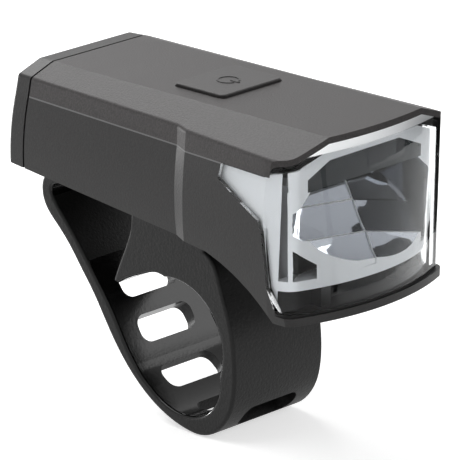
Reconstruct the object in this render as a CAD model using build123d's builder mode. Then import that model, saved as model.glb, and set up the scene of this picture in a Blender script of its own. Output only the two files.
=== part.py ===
from build123d import *
import math
import os

os.makedirs("parts", exist_ok=True)

# A bicycle headlight on a rubber handlebar strap. Sizes are in millimetres.
# The origin is the middle of the handlebar: X lies along the bar, the beam points to -Y, +Z is up.

# Handlebar ring and rubber strap
bar_radius = 15.9
bar_fit = 0.1
strap_half_width = 15.6
strap_thickness = 3.8
saddle_depth = 14.3
strap_edge_round = 0.8
slot_length = 18.6
slot_width = 7.0
slot_round = 2.8
tab_thickness = 3.0
tab_front = 27.0

# Mount plate between the case and the strap, with its hook and screws
plate_thickness = 3.0
plate_edge_round = 1.0
hook_width = 10.0
hook_thickness = 3.6
key_width = 12.0
key_length = 13.0
key_depth = 5.0
key_flare = 1.2
plate_half_width = 14.0
plate_front = -13.0
plate_back = 42.0
plate_round = 4.0
hook_place = 33.0
hook_lip = 2.2
hook_lip_thickness = 1.6
key_place = 2.0
plate_screw_radius = 1.5
plate_screw_head_radius = 2.4
plate_screw_head = 1.5
plate_screw_length = 9.0
plate_screw_spread = 20.0
plate_screw_back = 24.0
plate_screw_front = -6.0
plate_boss_radius = 2.6

# Case outside
back_overhang = 45.3
case_length = 97.0
case_depth = 29.2
underside_angle = 6.3
nose_depth = 44.5
knee_forward = 22.0
chin_forward = 43.5
wall = 2.0
corner_round = 1.2
rear_half_width = 25.95
waist_half_width = 26.15
band_start = 56.3
band_length = 3.8
band_step = 1.2
front_half_width = 28.45
strip_setback = 11.2
side_depth = 46.0
shoulder_drop = 4.5
seam_drop = 8.8
visor_thickness = 1.6
overrun = 2.0

# Front outline in plan: reach of its middle, and the place of its corners, at the top and the chin
visor_reach = 52.5
visor_corner_x = 26.2
visor_corner_y = 49.2
nose_reach = 53.4
nose_corner_x = 25.6
nose_corner_y = 47.9
nose_corner_round = 3.6
nose_side_run = 9.0
nose_side_step = 3.9
chin_lip = 0.8
chin_thickness = 2.0

# Seams and gaskets
cap_length = 4.8
rear_gasket_thickness = 0.55
gasket_recess = 0.35
case_gasket_thickness = 0.36
lens_gasket_thickness = 0.5
fit_gap = 0.2

# Front lens
lens_wall = 2.0
wing_reach = 27.3
wing_drop = 12.2

# Power button and its switch
button_length = 16.2
button_width = 20.8
button_middle = -3.9
button_raise = 0.8
button_round = 1.4
button_edge_round = 0.35
button_gap = 0.3
button_travel = 0.5
button_flange = 1.3
flange_thickness = 0.5
post_radius = 2.0
symbol_radius = 2.9
symbol_line = 0.45
symbol_raise = 0.15
seal_thickness = 0.5
seal_margin = 2.0
switch_side = 6.0
switch_height = 1.4
plunger_radius = 1.6
plunger_height = 0.8
plunger_fit = 0.05
plunger_foot = 0.1
button_wall = 1.6
button_pocket = 1.9
seal_hole_radius = 2.6
flange_clearance = 0.25

# Main board and what it carries
board_thickness = 1.2
board_drop = 5.3
board_half_width = 15.0
board_clearance = 1.5
board_back = 11.5
board_screw_radius = 1.1
board_screw_head_radius = 2.1
board_screw_head = 1.2
board_screw_length = 4.3
board_post_radius = 2.4
chip_side = 5.0
chip_height = 0.9
coil_side = 6.5
coil_height = 1.5
diode_side = 1.6
diode_height = 0.7

# Battery
cell_headroom = 1.7
cell_length = 65.0
cell_back_gap = 1.4
cell_rise = 0.6
cell_cap_radius = 3.0
cell_cap_length = 0.9
foam_thickness = 0.8
foam_radius = 6.0
lead_width = 7.0
lead_thickness = 0.3
lead_tail = 3.0
rear_lead_length = 12.0
front_lead_length = 17.0
rib_thickness = 1.6
cell_slack = 0.05
cell_rib_shares = (0.16, 0.5, 0.84)

# Charging socket and its rubber flap
charge_board_thickness = 1.2
charge_board_width = 22.0
charge_board_headroom = 3.8
charge_board_back_gap = 0.9
rail_width = 2.8
rail_share = 0.65
socket_width = 8.9
socket_height = 3.2
socket_wall = 0.3
socket_depth = 3.4
socket_round = 1.55
socket_rise_share = 0.5165
tongue_width = 6.6
tongue_thickness = 0.7
tongue_length = 2.6
flap_width = 17.0
flap_height = 10.0
flap_thickness = 1.3
flap_round = 1.6
flap_gap = 0.15
plug_depth = 0.8
plug_clearance = 0.5
anchor_height = 2.0
peg_radius = 0.7
peg_spread = 10.0
peg_length = 1.8
port_round = 2.0
port_margin = 0.9
cap_wall = 2.6
cap_edge_round = 0.8

# Screws
case_screw_radius = 1.2
case_screw_head_radius = 2.3
case_screw_head = 1.6
case_screw_length = 14.0
case_screw_x = 19.6
case_screw_back = 31.0
case_screw_front = -18.0
boss_radius = 3.0
cap_screw_radius = 1.1
cap_screw_head_radius = 2.1
cap_screw_length = 9.0
cap_screw_head = 1.2
cap_screw_x = 19.0
cap_screw_drop_share = 0.558
cap_post_radius = 2.6

# Light unit
chamber_back = 37.0
chamber_knee = 42.5
chamber_front = 46.4
chamber_back_half = 18.2
chamber_knee_half = 18.7
chamber_front_half = 23.6
mirror_wall = 1.2
mirror_sags = (-0.1, 0.3, 0.35)
mirror_step = 0.45
liner_inside = 24.3
liner_margin = 1.0
liner_top_drop = 6.0
frame_back = 45.7
frame_plate = 1.2
shelf_drop = 34.5
shelf_thickness = 2.4
shelf_gap = 0.5
shelf_post_x = 13.0
opening_drop = 13.3
opening_bevel = 5.0
shade_thickness = 1.2
shade_half_width = 19.5
shade_height = 6.2
shade_bevel_width = 7.5
shade_bevel_drop = 3.2
led_board_thickness = 1.2
led_board_half_width = 13.0
led_board_length = 11.0
led_board_back = 34.3
led_side = 3.4
led_height = 0.8
led_dome_radius = 1.3
led_forward = 42.0
chamber_drop = 12.5
led_board_drop = 12.3
sink_base = 2.0
sink_half_width = 23.4
sink_back = 33.5
sink_length = 11.9
fin_height = 4.4
fin_thickness = 1.2
fin_count = 7
fin_spread = 29.0
optic_screw_radius = 1.0
optic_screw_head_radius = 1.9
optic_screw_head = 1.1
optic_screw_length = 6.0
optic_boss_radius = 2.0
optic_boss_height = 5.0
optic_screw_x = 20.9
optic_screw_y = 38.6
screw_socket_share = 0.55

# Places that follow from the sizes above
ring_radius = bar_radius + bar_fit
underside_at_bar = ring_radius + saddle_depth + plate_thickness
top_height = underside_at_bar + case_depth
chin_height = top_height - nose_depth
shelf_top = top_height - shelf_drop
opening_top = top_height - opening_drop
chamber_top = top_height - chamber_drop
led_board_bottom = top_height - led_board_drop
strip_length = back_overhang + nose_reach - strip_setback
cell_radius = (case_depth - wall - cell_rise - board_drop - board_thickness - cell_headroom) / 2
board_length = board_back + sink_back - board_clearance
underside_slope = math.tan(math.radians(underside_angle))
half_span = front_half_width + overrun
front_end = -nose_reach - overrun
back_end = back_overhang + overrun


def underside(y):
    """Height of the case's straight underside at a place along Y."""
    return underside_at_bar + y * underside_slope


# Sections of the case from back to front: depth from the back, half width, then shares of the
# half width at the top edge, shoulder, seam and foot, and shares of the drops of the shoulder,
# the seam and the widest point.
section_shares = [
    (0, rear_half_width, 0.593, 0.875, 0.917, 0.79, 0.556, 0.795, 0.478),
    (band_start, waist_half_width, 0.604, 0.952, 0.960, 0.825, 0.756, 0.943, 0.446),
    (band_start + band_length, waist_half_width + band_step, 0.578, 0.951, 0.965, 0.887, 0.833,
     0.994, 0.478),
    (strip_length, front_half_width, 0.562, 0.988, 0.995, 0.942, 0.978, 1.0, 0.435),
    (back_overhang + nose_reach + overrun, front_half_width, 0.566, 1.0, 1.0, 0.94, 1.02, 1.0, 0.435),
]
# Middle of the bend under the nose, as shares of its run and its drop
nose_bend_run_share = 0.553
nose_bend_drop_share = 0.403


def section_plane(y):
    """Plane across the case, its local Y pointing up from the top face."""
    return Plane(origin=(0, y, top_height), x_dir=(1, 0, 0), z_dir=(0, -1, 0))


def front_outline(z, reach, corner_x, corner_y, grow):
    """Plan of the case's front at a height, open at the back."""
    with BuildSketch(Plane.XY.offset(z)) as plan:
        with BuildLine():
            corner = (corner_x + grow, -corner_y - grow)
            side = (corner[0] + nose_side_step, corner[1] + nose_side_run)
            back = (side[0], back_end)
            Polyline(corner, side, back, (-back[0], back[1]), (-side[0], side[1]), (-corner[0], corner[1]))
            ThreePointArc((-corner[0], corner[1]), (0, -reach - grow), corner)
        make_face()
        corners = plan.vertices().group_by(Axis.Y)[:2]
        fillet([v for group in corners for v in group][:2], nose_corner_round)
    return plan


def case_blank(side, top, floor, front):
    """The case's full outer form, drawn in by the given amounts."""
    with BuildPart() as blank:
        for depth, half, flat, shoulder, seam, foot, drop, seam_share, wide in section_shares:
            with BuildSketch(section_plane(back_overhang - depth)) as section:
                with BuildLine():
                    flat_x = half * flat - side / 2
                    shoulder_x = half * shoulder - side
                    seam_x = half * seam - side
                    foot_x = half * foot - side
                    shoulder_y = -shoulder_drop * drop - top
                    seam_y = -seam_drop * seam_share - top / 2
                    Polyline((-seam_x, seam_y), (-shoulder_x, shoulder_y), (-flat_x, -top), (flat_x, -top),
                             (shoulder_x, shoulder_y), (seam_x, seam_y))
                    ThreePointArc((seam_x, seam_y), (half - side, -side_depth * wide),
                                  (foot_x, -side_depth))
                    Line((foot_x, -side_depth), (-foot_x, -side_depth))
                    ThreePointArc((-foot_x, -side_depth), (side - half, -side_depth * wide),
                                  (-seam_x, seam_y))
                make_face()
                upper = section.vertices().sort_by(Axis.Y)[-4:]
                fillet(upper, corner_round)
        loft(ruled=True)
        with BuildSketch(Plane.YZ):
            with BuildLine():
                knee = (-knee_forward, underside(-knee_forward) + floor)
                chin = (-chin_forward, chin_height + floor)
                bend = (knee[0] + (chin[0] - knee[0]) * nose_bend_run_share,
                        knee[1] + (chin[1] - knee[1]) * nose_bend_drop_share)
                Polyline(chin, (front_end, chin[1]), (front_end, top_height + overrun),
                         (back_end, top_height + overrun), (back_end, underside(back_end) + floor), knee)
                ThreePointArc(knee, bend, chin)
            make_face()
        extrude(amount=half_span, both=True, mode=Mode.INTERSECT)
        upper_plan = front_outline(top_height + overrun, visor_reach, visor_corner_x, visor_corner_y, -front)
        lower_plan = front_outline(chin_height - overrun, nose_reach, nose_corner_x, nose_corner_y, -front)
        loft(sections=[upper_plan.sketch, lower_plan.sketch], ruled=True, mode=Mode.INTERSECT)
    return blank.part


def seam_height(depth):
    """Height of the seam between cover and housing at a depth from the back."""
    for near, far in zip(section_shares, section_shares[1:]):
        if depth <= far[0]:
            break
    run = (depth - near[0]) / (far[0] - near[0])
    return top_height - seam_drop * (near[7] + (far[7] - near[7]) * run)


def slab(y_back, y_front):
    """A block across the whole case between two places along Y."""
    with BuildPart() as block:
        with BuildSketch(Plane.XZ.offset(-y_back)):
            Rectangle(half_span * 2, top_height * 2)
        extrude(amount=y_back - y_front)
    return block.part


def side_prism(points):
    """A prism across the whole case, drawn from the side as (y, z) points."""
    with BuildPart() as prism:
        with BuildSketch(Plane.YZ):
            with BuildLine():
                Polyline(*points, close=True)
            make_face()
        extrude(amount=half_span, both=True)
    return prism.part


def above_seam(rise):
    """The space above the seam, raised by an amount."""
    points = [(back_overhang - row[0], top_height - seam_drop * row[7] + rise) for row in section_shares]
    points = [(back_end, points[0][1])] + points
    points += [(points[-1][0], top_height + overrun), (back_end, top_height + overrun)]
    return side_prism(points)


outer_blank = case_blank(0, 0, 0, 0)
core_blank = case_blank(wall / 2, wall / 2, wall / 2, wall / 2)
inner_blank = case_blank(wall, wall, wall, lens_wall)
lens_blank = case_blank(0, visor_thickness, 0, 0)
lens_hollow = case_blank(lens_wall, visor_thickness + lens_wall, wall, lens_wall)

cap_front_y = back_overhang - cap_length
case_rear_y = cap_front_y - rear_gasket_thickness
strip_end_y = back_overhang - strip_length
rear_depth = top_height - underside(back_overhang)
cap_screw_height = top_height - rear_depth * cap_screw_drop_share
chin_top = chin_height + chin_thickness
lens_foot = chin_top + lens_gasket_thickness
half_gasket = case_gasket_thickness / 2

# Outline of the lens seen from the side. Its wing is drawn as shares of the wing's reach back
# from the strip's end, and of the wing's drop below the seam.
wing_back = -wing_reach
wing_shares = [(0, 0), (-0.045, 0.31), (0.46, 0.66), (0.84, 0.90), (0.93, 1.12)]
wing_run = wing_back - strip_end_y
wing_top = seam_height(back_overhang - wing_back)
wing_points = [(wing_back - share_y * wing_run, wing_top - share_z * wing_drop)
               for share_y, share_z in wing_shares]
lens_heel_share = 0.16
lens_heel = (strip_end_y - lens_heel_share * wing_run, lens_foot)
lens_zone = side_prism(wing_points + [(strip_end_y, lens_heel[1] + wing_drop / 2), lens_heel,
                                      (front_end, lens_foot), (front_end, top_height + overrun),
                                      (strip_end_y, top_height + overrun),
                                      (strip_end_y, seam_height(strip_length))])
# Blanks for the parts that sit inside the case or at its joints
unit_blank = case_blank(lens_wall + shelf_gap, visor_thickness + lens_wall + shelf_gap, wall + shelf_gap,
                        lens_wall + shelf_gap)
recessed_blank = case_blank(gasket_recess, gasket_recess, gasket_recess, 0)
lip_blank = case_blank(0, 0, 0, -chin_lip)

# Heights and places of the board and the button, which the cover carries
board_top = top_height - board_drop
board_bottom = board_top - board_thickness
board_front = board_back - board_length
button_top = top_height + button_raise
flange_top = top_height - wall - fit_gap
flange_bottom = flange_top - flange_thickness
post_bottom = board_top + switch_height + plunger_height
board_post_x = board_half_width - board_post_radius
board_post_ys = (board_back - board_post_radius, board_front + board_post_radius)
board_posts = [(x, y) for x in (-board_post_x, board_post_x) for y in board_post_ys]
screw_tip = top_height - wall - case_screw_radius * 2
screw_seat = screw_tip - case_screw_length
boss_places = [(x, y) for x in (-case_screw_x, case_screw_x) for y in (case_screw_back, case_screw_front)]

# The plane of the case's underside: local Y runs back along it, local Z points into the case
tilt = math.radians(underside_angle)
under_plane = Plane(origin=(0, 0, underside_at_bar), x_dir=(1, 0, 0),
                    z_dir=(0, -math.sin(tilt), math.cos(tilt)))
floor_top = wall * math.cos(tilt)
cell_axis = floor_top + cell_rise + cell_radius
charge_board_front = cap_front_y - charge_board_back_gap - charge_board_thickness
charge_board_bottom = underside(charge_board_front) + wall + fit_gap
charge_board_height = top_height - wall - charge_board_bottom - charge_board_headroom
cell_back = charge_board_front - cell_back_gap
cell_front = cell_back - cell_length
cell_plane = Plane(origin=under_plane.from_local_coords((0, cell_back, cell_axis)), x_dir=(1, 0, 0),
                   z_dir=(0, -math.cos(tilt), -math.sin(tilt)))
stop_face = cell_front - foam_thickness - lead_thickness
plate_screw_places = [(x, y) for x in (-plate_screw_spread / 2, plate_screw_spread / 2)
                      for y in (plate_screw_back, plate_screw_front)]
rail_half = charge_board_width / 2
shelf_bottom = shelf_top - shelf_thickness
socket_level = underside(back_overhang) + rear_depth * socket_rise_share


def split_height(y):
    """Height where a cover post stands on its housing boss."""
    return seam_height(back_overhang - y)


def screw(seat, radius, length, head_radius, head):
    """A socket-head screw driven along the seat plane's Z, its head on the other side."""
    with BuildPart() as one:
        with BuildSketch(seat):
            Circle(radius)
        extrude(amount=length)
        with BuildSketch(seat):
            Circle(head_radius)
        extrude(amount=-head)
        with BuildSketch(seat.offset(-head)):
            RegularPolygon(head_radius * screw_socket_share, 6)
        extrude(amount=head * screw_socket_share, mode=Mode.SUBTRACT)
    return one.part


# Cover: the top shell with the visor. Four bosses take the case screws, four posts hang the board.
with BuildPart() as top_cover:
    add(outer_blank)
    add(inner_blank, mode=Mode.SUBTRACT)
    for x, y in boss_places:
        with BuildSketch(Plane.XY.offset(split_height(y))):
            with Locations((x, y)):
                Circle(boss_radius)
        extrude(amount=top_height - split_height(y))
    with BuildSketch(Plane.XY.offset(board_top)):
        with Locations(*board_posts):
            Circle(board_post_radius)
    extrude(amount=board_drop - wall / 2)
    add(outer_blank, mode=Mode.INTERSECT)
    add(above_seam(half_gasket), mode=Mode.INTERSECT)
    add(slab(case_rear_y, front_end), mode=Mode.INTERSECT)
    visor_cut = lens_blank.intersect(slab(strip_end_y, front_end))
    add(visor_cut, mode=Mode.SUBTRACT)
    with BuildSketch(Plane.XY.offset(top_height - wall - overrun)):
        with Locations((0, button_middle)):
            RectangleRounded(button_width + button_gap * 2, button_length + button_gap * 2,
                             button_round + button_gap)
    extrude(amount=wall + overrun * 2, mode=Mode.SUBTRACT)
    for x, y in boss_places:
        with BuildSketch(Plane.XY.offset(split_height(y) - overrun)):
            with Locations((x, y)):
                Circle(case_screw_radius)
        extrude(amount=screw_tip + fit_gap - split_height(y) + overrun, mode=Mode.SUBTRACT)
    with BuildSketch(Plane.XY.offset(board_top)):
        with Locations(*board_posts):
            Circle(board_screw_radius)
    extrude(amount=board_drop - wall, mode=Mode.SUBTRACT)
top_cover.part.label = "top_cover"
export_step(top_cover.part, "parts/top_cover.step")

# What stands inside the housing: screw bosses, cell ribs, board rails and the posts of the light unit
with BuildPart() as housing_inside:
    for x, y in boss_places:
        with BuildSketch(Plane.XY.offset(chin_height)):
            with Locations((x, y)):
                Circle(boss_radius)
        extrude(amount=split_height(y) - chin_height)
    for side in (-1, 1):
        with BuildSketch(Plane.XZ.offset(-case_rear_y)):
            with Locations((side * cap_screw_x, cap_screw_height)):
                Circle(cap_post_radius)
        extrude(amount=case_rear_y - case_screw_back)
    for x, y in plate_screw_places:
        with BuildSketch(under_plane):
            with Locations((x, y)):
                Circle(plate_boss_radius)
        extrude(amount=plate_screw_length - plate_thickness + fit_gap)
    for share in cell_rib_shares:
        with BuildSketch(under_plane.offset(wall / 2)):
            with Locations((0, cell_back - share * cell_length)):
                Rectangle(cell_radius * 2 + rib_thickness * 2, rib_thickness)
        extrude(amount=cell_axis - cell_radius / 2 - wall / 2)
    with BuildSketch(under_plane.offset(-cell_radius)):
        with Locations((0, stop_face - rib_thickness / 2)):
            Rectangle(cell_radius * 2, rib_thickness)
    extrude(amount=cell_axis + cell_radius)
    for side in (-1, 1):
        with BuildSketch(Plane.XY.offset(charge_board_bottom - wall)):
            with Locations((side * rail_half, charge_board_front + charge_board_thickness / 2)):
                Rectangle(rail_width, charge_board_thickness + rib_thickness)
        extrude(amount=charge_board_height * rail_share)
        with BuildSketch(Plane.XY.offset(chin_height + wall / 2)):
            with Locations((side * shelf_post_x, -chin_forward - rib_thickness)):
                Rectangle(rib_thickness * 2, rib_thickness * 2)
        extrude(amount=shelf_bottom - chin_height - wall / 2)
    with BuildSketch(cell_plane.offset(-cell_cap_length - lead_thickness)):
        Circle(cell_radius + cell_slack)
    extrude(amount=cell_length + cell_cap_length + lead_thickness, mode=Mode.SUBTRACT)
    with BuildSketch(Plane.XY.offset(charge_board_bottom)):
        with Locations((0, charge_board_front + charge_board_thickness / 2)):
            Rectangle(charge_board_width + cell_slack * 2, charge_board_thickness + cell_slack * 2)
    extrude(amount=charge_board_height, mode=Mode.SUBTRACT)
    add(core_blank, mode=Mode.INTERSECT)
    add(above_seam(-half_gasket), mode=Mode.SUBTRACT)
    add(slab(case_rear_y, front_end), mode=Mode.INTERSECT)

# Housing: the lower shell down to the chin, open at the rear and under the lens
with BuildPart() as lower_housing:
    add(outer_blank)
    add(inner_blank, mode=Mode.SUBTRACT)
    add(above_seam(-half_gasket), mode=Mode.SUBTRACT)
    add(slab(case_rear_y, front_end), mode=Mode.INTERSECT)
    add(lens_zone, mode=Mode.SUBTRACT)
    gasket_zone = side_prism([(lens_heel[0], chin_top), (lens_heel[0], lens_foot),
                              (front_end, lens_foot), (front_end, chin_top)])
    add(gasket_zone, mode=Mode.SUBTRACT)
    lip_zone = side_prism([(-chin_forward, chin_height), (-chin_forward, chin_top),
                           (front_end, chin_top), (front_end, chin_height)])
    add(lip_blank.intersect(lip_zone))
    add(housing_inside.part)
    for x, y in boss_places:
        with BuildSketch(Plane.XY.offset(chin_height)):
            with Locations((x, y)):
                Circle(case_screw_head_radius + fit_gap)
        extrude(amount=screw_seat - chin_height, mode=Mode.SUBTRACT)
        with BuildSketch(Plane.XY.offset(screw_seat)):
            with Locations((x, y)):
                Circle(case_screw_radius)
        extrude(amount=split_height(y) - screw_seat, mode=Mode.SUBTRACT)
    with BuildSketch(under_plane):
        with Locations(*plate_screw_places):
            Circle(plate_screw_radius)
    extrude(amount=plate_screw_length - plate_screw_head, mode=Mode.SUBTRACT)
    for side in (-1, 1):
        with BuildSketch(Plane.XZ.offset(-case_rear_y)):
            with Locations((side * cap_screw_x, cap_screw_height)):
                Circle(cap_screw_radius)
        extrude(amount=cap_screw_length - cap_length + cap_screw_head, mode=Mode.SUBTRACT)
lower_housing.part.label = "lower_housing"
export_step(lower_housing.part, "parts/lower_housing.step")

# Case gasket: a strip along the seam on each side
with BuildPart() as case_gasket:
    add(outer_blank)
    add(inner_blank, mode=Mode.SUBTRACT)
    add(above_seam(-half_gasket), mode=Mode.INTERSECT)
    add(above_seam(half_gasket), mode=Mode.SUBTRACT)
    add(slab(case_rear_y, wing_back), mode=Mode.INTERSECT)
    add(lens_zone, mode=Mode.SUBTRACT)
case_gasket.part.label = "case_gasket"
export_step(case_gasket.part, "parts/case_gasket.step")

# Front lens: clear window with the side wings that run back under the cover
with BuildPart() as front_lens:
    add(lens_blank)
    add(lens_hollow, mode=Mode.SUBTRACT)
    add(lens_zone, mode=Mode.INTERSECT)
front_lens.part.label = "front_lens"
export_step(front_lens.part, "parts/front_lens.step")

# Lens gasket: between the lens's foot and the chin
with BuildPart() as lens_gasket:
    add(outer_blank)
    add(inner_blank, mode=Mode.SUBTRACT)
    add(gasket_zone, mode=Mode.INTERSECT)
lens_gasket.part.label = "lens_gasket"
export_step(lens_gasket.part, "parts/lens_gasket.step")

# Rear gasket: the thin dark ring in the groove between the case and the cap
with BuildPart() as rear_gasket:
    add(recessed_blank)
    add(inner_blank, mode=Mode.SUBTRACT)
    add(slab(cap_front_y, case_rear_y), mode=Mode.INTERSECT)
rear_gasket.part.label = "rear_gasket"
export_step(rear_gasket.part, "parts/rear_gasket.step")

# Rear cap: closes the case, with the charging port and the pocket for its flap
flap_bottom = socket_level - flap_height / 2
flap_floor_y = back_overhang - flap_thickness
pocket_top = socket_level + flap_height / 2 + flap_gap
pocket_bottom = flap_bottom - anchor_height
anchor_level = flap_bottom - anchor_height / 2
cap_seat_y = back_overhang - cap_screw_head
rear_face = Plane(origin=(0, back_overhang, 0), x_dir=(-1, 0, 0), z_dir=(0, 1, 0))
peg_places = [(x, anchor_level) for x in (-peg_spread / 2, peg_spread / 2)]
with BuildPart() as rear_cap:
    add(outer_blank)
    add(slab(back_end, cap_front_y), mode=Mode.INTERSECT)
    fillet(rear_cap.faces().sort_by(Axis.Y)[-1].edges(), cap_edge_round)
    cap_hollow = inner_blank.intersect(slab(back_overhang - cap_wall, cap_front_y - overrun))
    add(cap_hollow, mode=Mode.SUBTRACT)
    with BuildSketch(Plane.XZ.offset(-cap_seat_y)):
        with Locations((-cap_screw_x, cap_screw_height), (cap_screw_x, cap_screw_height)):
            Circle(cap_post_radius)
    extrude(amount=cap_seat_y - case_rear_y)
    with BuildSketch(rear_face):
        with Locations((0, (pocket_top + pocket_bottom) / 2)):
            RectangleRounded(flap_width + flap_gap * 2, pocket_top - pocket_bottom, flap_round)
    extrude(amount=-flap_thickness, mode=Mode.SUBTRACT)
    with BuildSketch(rear_face):
        with Locations((0, socket_level)):
            RectangleRounded(socket_width + port_margin * 2, socket_height + port_margin * 2, port_round)
    extrude(amount=-cap_wall - overrun, mode=Mode.SUBTRACT)
    with BuildSketch(rear_face):
        with Locations(*peg_places):
            Circle(peg_radius)
    extrude(amount=-cap_wall - overrun, mode=Mode.SUBTRACT)
    with BuildSketch(rear_face):
        with Locations((-cap_screw_x, cap_screw_height), (cap_screw_x, cap_screw_height)):
            Circle(cap_screw_radius)
    extrude(amount=-cap_length - overrun, mode=Mode.SUBTRACT)
    with BuildSketch(rear_face):
        with Locations((-cap_screw_x, cap_screw_height), (cap_screw_x, cap_screw_height)):
            Circle(cap_screw_head_radius + fit_gap)
    extrude(amount=-cap_screw_head, mode=Mode.SUBTRACT)
rear_cap.part.label = "rear_cap"
export_step(rear_cap.part, "parts/rear_cap.step")

# Charging flap: rubber lid that plugs the port, turning down on the fold along its lower edge
with BuildPart() as usb_flap:
    with BuildSketch(rear_face):
        with Locations((0, socket_level + flap_gap / 2)):
            RectangleRounded(flap_width, flap_height - flap_gap, flap_round)
    extrude(amount=-flap_thickness)
    with BuildSketch(rear_face.offset(-flap_thickness)):
        with Locations((0, socket_level)):
            RectangleRounded(socket_width + (port_margin - plug_clearance) * 2,
                             socket_height + (port_margin - plug_clearance) * 2, port_round - plug_clearance)
    extrude(amount=-plug_depth)
    with BuildSketch(rear_face.offset(-flap_thickness - plug_depth)):
        with Locations((0, socket_level)):
            RectangleRounded(socket_width, socket_height, socket_round)
    extrude(amount=plug_depth, mode=Mode.SUBTRACT)
usb_flap.part.label = "usb_flap"
export_step(usb_flap.part, "parts/usb_flap.step")

# Flap anchor: the fixed root of the flap, held by two pegs in the cap
with BuildPart() as flap_anchor:
    with BuildSketch(rear_face):
        with Locations((0, (pocket_top + pocket_bottom) / 2)):
            RectangleRounded(flap_width + flap_gap * 2, pocket_top - pocket_bottom, flap_round)
        with Locations((0, anchor_level - flap_gap / 2)):
            Rectangle(flap_width, anchor_height - flap_gap, mode=Mode.INTERSECT)
    extrude(amount=-flap_thickness)
    with BuildSketch(rear_face.offset(-flap_thickness)):
        with Locations(*peg_places):
            Circle(peg_radius)
    extrude(amount=-peg_length)
flap_anchor.part.label = "flap_anchor"
export_step(flap_anchor.part, "parts/flap_anchor.step")

# Charging board: stands in the housing's rails
with BuildPart() as charge_board:
    with BuildSketch(Plane.XY.offset(charge_board_bottom)):
        with Locations((0, charge_board_front + charge_board_thickness / 2)):
            Rectangle(charge_board_width, charge_board_thickness)
    extrude(amount=charge_board_height)
charge_board.part.label = "charge_board"
export_step(charge_board.part, "parts/charge_board.step")

# Charging socket: a steel shell soldered to the back of the board
socket_plane = Plane(origin=(0, charge_board_front + charge_board_thickness, socket_level),
                     x_dir=(-1, 0, 0), z_dir=(0, 1, 0))
with BuildPart() as usb_socket:
    with BuildSketch(socket_plane):
        RectangleRounded(socket_width, socket_height, socket_round)
    extrude(amount=socket_depth)
    with BuildSketch(socket_plane.offset(socket_wall)):
        RectangleRounded(socket_width - socket_wall * 2, socket_height - socket_wall * 2,
                         socket_round - socket_wall)
    extrude(amount=socket_depth, mode=Mode.SUBTRACT)
usb_socket.part.label = "usb_socket"
export_step(usb_socket.part, "parts/usb_socket.step")

# Contact tongue in the middle of the socket
with BuildPart() as usb_tongue:
    with BuildSketch(socket_plane.offset(socket_wall)):
        Rectangle(tongue_width, tongue_thickness)
    extrude(amount=tongue_length)
usb_tongue.part.label = "usb_tongue"
export_step(usb_tongue.part, "parts/usb_tongue.step")

# Battery cell: one cylinder with its raised contact at the rear
with BuildPart() as battery_cell:
    with BuildSketch(cell_plane):
        Circle(cell_radius)
    extrude(amount=cell_length)
    with BuildSketch(cell_plane):
        Circle(cell_cap_radius)
    extrude(amount=-cell_cap_length)
battery_cell.part.label = "battery_cell"
export_step(battery_cell.part, "parts/battery_cell.step")

# Battery leads: a flat strip on each end of the cell, running up towards the boards
with BuildPart() as battery_leads:
    for place, length, out in ((-cell_cap_length, rear_lead_length, -lead_thickness),
                               (cell_length, front_lead_length, lead_thickness)):
        with BuildSketch(cell_plane.offset(place)):
            with Locations((0, length / 2 - lead_tail)):
                Rectangle(lead_width, length)
        extrude(amount=out)
battery_leads.part.label = "battery_leads"
export_step(battery_leads.part, "parts/battery_leads.step")

# Foam pads behind both strips
with BuildPart() as battery_foam:
    for place, out in ((-cell_cap_length - lead_thickness, -foam_thickness),
                       (cell_length + lead_thickness, foam_thickness)):
        with BuildSketch(cell_plane.offset(place)):
            Circle(foam_radius)
        extrude(amount=out)
battery_foam.part.label = "battery_foam"
export_step(battery_foam.part, "parts/battery_foam.step")

# Main board: hangs under the cover's posts
with BuildPart() as main_board:
    with BuildSketch(Plane.XY.offset(board_bottom)):
        with Locations((0, board_back - board_length / 2)):
            Rectangle(board_half_width * 2, board_length)
        with Locations(*board_posts):
            Circle(board_screw_radius, mode=Mode.SUBTRACT)
    extrude(amount=board_thickness)
main_board.part.label = "main_board"
export_step(main_board.part, "parts/main_board.step")

# Board screws: four, driven up into the posts
with BuildPart() as board_screws:
    for x, y in board_posts:
        add(screw(Plane.XY.offset(board_bottom).move(Location((x, y, 0))), board_screw_radius,
                  board_screw_length, board_screw_head_radius, board_screw_head))
board_screws.part.label = "board_screws"
export_step(board_screws.part, "parts/board_screws.step")

# Controller chip
with BuildPart() as controller_chip:
    with BuildSketch(Plane.XY.offset(board_top)):
        with Locations((-board_half_width / 2, board_front + board_length / 3)):
            Rectangle(chip_side, chip_side)
    extrude(amount=chip_height)
controller_chip.part.label = "controller_chip"
export_step(controller_chip.part, "parts/controller_chip.step")

# Coil of the charging circuit
with BuildPart() as charge_coil:
    with BuildSketch(Plane.XY.offset(board_top)):
        with Locations((board_half_width / 2, board_front + board_length / 3)):
            RectangleRounded(coil_side, coil_side, coil_height)
    extrude(amount=coil_height)
charge_coil.part.label = "charge_coil"
export_step(charge_coil.part, "parts/charge_coil.step")

# Indicator diode beside the switch
with BuildPart() as indicator_led:
    with BuildSketch(Plane.XY.offset(board_top)):
        with Locations((switch_side, button_middle)):
            Rectangle(diode_side, diode_side)
    extrude(amount=diode_height)
indicator_led.part.label = "indicator_led"
export_step(indicator_led.part, "parts/indicator_led.step")

# Tact switch: the body with a bore for its plunger
switch_top = board_top + switch_height
with BuildPart() as tact_switch:
    with BuildSketch(Plane.XY.offset(board_top)):
        with Locations((0, button_middle)):
            Rectangle(switch_side, switch_side)
    extrude(amount=switch_height)
    with BuildSketch(Plane.XY.offset(switch_top)):
        with Locations((0, button_middle)):
            Circle(plunger_radius + plunger_fit)
    extrude(amount=-button_travel - plunger_foot * 2, mode=Mode.SUBTRACT)
tact_switch.part.label = "tact_switch"
export_step(tact_switch.part, "parts/tact_switch.step")

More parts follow.
